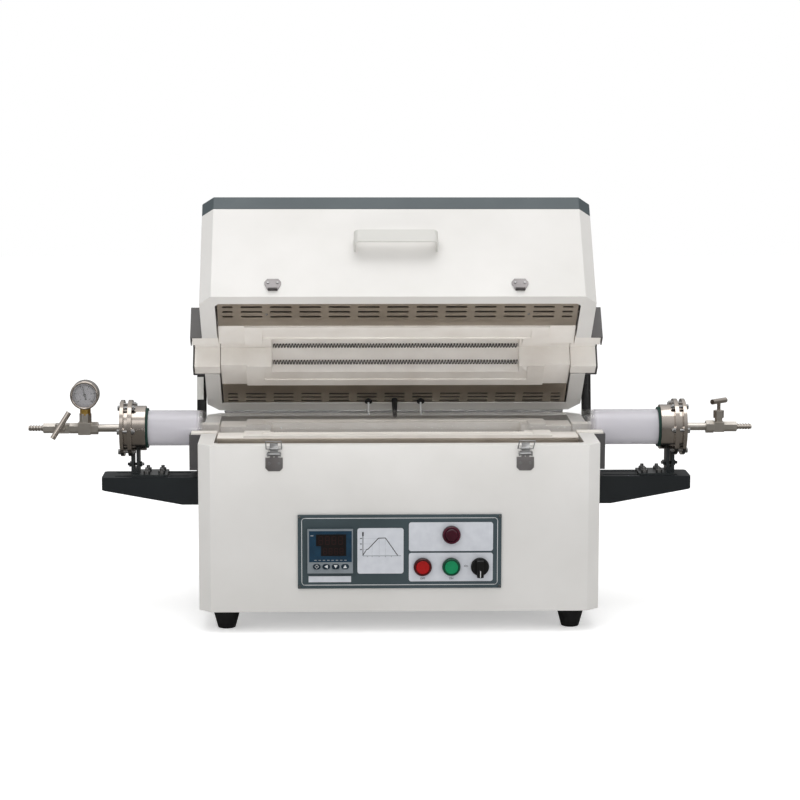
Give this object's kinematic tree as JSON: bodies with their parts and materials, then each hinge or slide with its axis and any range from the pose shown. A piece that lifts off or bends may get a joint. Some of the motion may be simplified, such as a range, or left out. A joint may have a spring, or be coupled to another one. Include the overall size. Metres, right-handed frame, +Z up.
{
  "type": "split tube furnace",
  "caption": "Benchtop split tube furnace with a hinged lid on gas struts, a quartz work tube with sealed flanges and gas fittings, and a front control panel.",
  "frame": {"origin": "on the bench, under the middle of the bounding box", "axes": "+X right along the work tube, +Y to the back, +Z up"},
  "size_m": [1.2322, 0.5242, 0.7026],
  "materials": {
    "cabinet_white": "satin",
    "cap_dark": "satin",
    "dark_sheet": "satin",
    "rubber_black": "matte",
    "liner_sheet": "satin",
    "ceramic_fibre": "matte",
    "coil_alloy": "satin",
    "panel_sheet": "satin",
    "plate_aluminium": "satin",
    "black_plastic": "satin",
    "controller_body": "satin",
    "screen_dark": "gloss",
    "key_blue": "satin",
    "bezel_chrome": "polished",
    "alarm_red": "gloss",
    "stop_red": "gloss",
    "start_green": "gloss",
    "steel": "satin",
    "steel_polished": "polished",
    "quartz": "polished",
    "seal_teal": "matte",
    "brass": "satin",
    "dial_grey": "matte",
    "gauge_glass": "polished",
    "heatsink": "satin"
  },
  "bodies": {
    "cabinet": {"alarm_lamp": "alarm_red", "base_covers": "dark_sheet", "base_liner": "liner_sheet", "base_pivots": "steel", "button_bezels": "bezel_chrome", "cabinet_panels": "cabinet_white", "cabinet_shell": "cabinet_white", "cable_gland": "black_plastic", "control_panel": "panel_sheet", "controller_case": "controller_body", "controller_screen": "screen_dark", "cooling_fan_frame": "black_plastic", "flange_bolts": "steel", "flange_brackets": "steel", "flange_seals": "seal_teal", "gauge_case": "steel_polished", "gauge_dial": "dial_grey", "gauge_lens": "gauge_glass", "gauge_nut": "brass", "inlet_fittings": "steel_polished", "latch_plates": "steel", "lower_heating_coils": "coil_alloy", "lower_insulation": "ceramic_fibre", "outlet_fittings": "steel_polished", "panel_plates": "plate_aluminium", "power_electronics": "heatsink", "quartz_tube": "quartz", "rubber_feet": "rubber_black", "shelf_arms": "dark_sheet", "thermocouple": "steel", "tube_flanges": "steel_polished"},
    "lid": {"lid_cap": "cap_dark", "lid_catches": "steel", "lid_covers": "dark_sheet", "lid_handle": "cabinet_white", "lid_insulation": "ceramic_fibre", "lid_liner": "liner_sheet", "lid_pivots": "steel", "lid_shell": "cabinet_white", "upper_heating_coils": "coil_alloy"},
    "inlet_valve_handle": {"inlet_valve_handle": "steel_polished"},
    "latch_bail_left": {"latch_bail_left": "steel"},
    "latch_bail_right": {"latch_bail_right": "steel"},
    "latch_lever_left": {"latch_lever_left": "steel"},
    "latch_lever_right": {"latch_lever_right": "steel"},
    "outlet_valve_handle": {"outlet_valve_handle": "steel_polished"},
    "strut_cylinder_left": {"strut_cylinder_left": "dark_sheet"},
    "strut_cylinder_right": {"strut_cylinder_right": "dark_sheet"},
    "strut_rod_left": {"strut_rod_left": "steel"},
    "strut_rod_right": {"strut_rod_right": "steel"},
    "controller_key_1": {"controller_key_1": "key_blue"},
    "controller_key_2": {"controller_key_2": "key_blue"},
    "controller_key_3": {"controller_key_3": "key_blue"},
    "controller_key_4": {"controller_key_4": "key_blue"},
    "selector_knob": {"selector_knob": "black_plastic"},
    "start_button": {"start_button": "start_green"},
    "stop_button": {"stop_button": "stop_red"},
    "gauge_needle": {"gauge_needle": "black_plastic"},
    "cooling_fan_rotor": {"cooling_fan_rotor": "black_plastic"}
  },
  "joints": [
    {"name": "lid_hinge", "type": "hinge", "parent": "cabinet", "child": "lid", "pos_m": [0.00895, 0.13236, 0.316], "axis": [-1, 0, 0], "range_deg": [-41, 0], "stiffness_Nm_per_rad": 8, "springref_deg": 160.43},
    {"name": "left_strut_rod_pivot", "type": "hinge", "parent": "cabinet", "child": "strut_rod_left", "pos_m": [-0.33035, 0.07944, 0.216], "axis": [-1, 0, 0], "range_deg": [-20.5, 0]},
    {"name": "left_strut_cylinder_pivot", "type": "hinge", "parent": "lid", "child": "strut_cylinder_left", "pos_m": [-0.33035, 0.12447, 0.42886], "axis": [-1, 0, 0], "range_deg": [0, 20.5]},
    {"name": "left_latch_lever_pivot", "type": "hinge", "parent": "cabinet", "child": "latch_lever_left", "pos_m": [-0.19605, -0.22764, 0.299], "axis": [1, 0, 0], "range_deg": [0, 130]},
    {"name": "left_latch_bail_pivot", "type": "hinge", "parent": "latch_lever_left", "child": "latch_bail_left", "pos_m": [-0.19605, -0.22764, 0.308], "axis": [1, 0, 0], "range_deg": [-62, 0]},
    {"name": "right_strut_rod_pivot", "type": "hinge", "parent": "cabinet", "child": "strut_rod_right", "pos_m": [0.34825, 0.07944, 0.216], "axis": [-1, 0, 0], "range_deg": [-20.5, 0]},
    {"name": "right_strut_cylinder_pivot", "type": "hinge", "parent": "lid", "child": "strut_cylinder_right", "pos_m": [0.34825, 0.12447, 0.42886], "axis": [-1, 0, 0], "range_deg": [0, 20.5]},
    {"name": "right_latch_lever_pivot", "type": "hinge", "parent": "cabinet", "child": "latch_lever_right", "pos_m": [0.21395, -0.22764, 0.299], "axis": [1, 0, 0], "range_deg": [0, 130]},
    {"name": "right_latch_bail_pivot", "type": "hinge", "parent": "latch_lever_right", "child": "latch_bail_right", "pos_m": [0.21395, -0.22764, 0.308], "axis": [1, 0, 0], "range_deg": [-62, 0]},
    {"name": "stop_button_press", "type": "slide", "parent": "cabinet", "child": "stop_button", "axis": [0, 1, 0], "range_m": [0, 0.003], "stiffness_N_per_m": 400},
    {"name": "start_button_press", "type": "slide", "parent": "cabinet", "child": "start_button", "axis": [0, 1, 0], "range_m": [0, 0.003], "stiffness_N_per_m": 400},
    {"name": "selector_turn", "type": "hinge", "parent": "cabinet", "child": "selector_knob", "pos_m": [0.14065, -0.22264, 0.1113], "axis": [0, 1, 0], "range_deg": [0, 90]},
    {"name": "key_1_press", "type": "slide", "parent": "cabinet", "child": "controller_key_1", "axis": [0, 1, 0], "range_m": [0, 0.0006], "stiffness_N_per_m": 500},
    {"name": "key_2_press", "type": "slide", "parent": "cabinet", "child": "controller_key_2", "axis": [0, 1, 0], "range_m": [0, 0.0006], "stiffness_N_per_m": 500},
    {"name": "key_3_press", "type": "slide", "parent": "cabinet", "child": "controller_key_3", "axis": [0, 1, 0], "range_m": [0, 0.0006], "stiffness_N_per_m": 500},
    {"name": "key_4_press", "type": "slide", "parent": "cabinet", "child": "controller_key_4", "axis": [0, 1, 0], "range_m": [0, 0.0006], "stiffness_N_per_m": 500},
    {"name": "gauge_needle_turn", "type": "hinge", "parent": "cabinet", "child": "gauge_needle", "pos_m": [-0.51955, -0.05264, 0.3718], "axis": [0, 1, 0], "range_deg": [-120, 130], "stiffness_Nm_per_rad": 0.0005},
    {"name": "inlet_valve_turn", "type": "hinge", "parent": "cabinet", "child": "inlet_valve_handle", "pos_m": [-0.55855, -0.07127, 0.32265], "axis": [0, -0.9511, 0.309], "range_deg": [0, 720]},
    {"name": "outlet_valve_turn", "type": "hinge", "parent": "cabinet", "child": "outlet_valve_handle", "pos_m": [0.55945, -0.04464, 0.358], "axis": [0, 0, 1], "range_deg": [0, 720]},
    {"name": "fan_spin", "type": "hinge", "parent": "cabinet", "child": "cooling_fan_rotor", "pos_m": [-0.19605, 0.11336, 0.12], "axis": [0, 1, 0], "continuous": true}
  ],
  "couplings": [
    {"joint": "left_strut_rod_pivot", "follows": "lid_hinge", "ratio": 0.5},
    {"joint": "left_strut_cylinder_pivot", "follows": "lid_hinge", "ratio": -0.5},
    {"joint": "right_strut_rod_pivot", "follows": "lid_hinge", "ratio": 0.5},
    {"joint": "right_strut_cylinder_pivot", "follows": "lid_hinge", "ratio": -0.5}
  ]
}
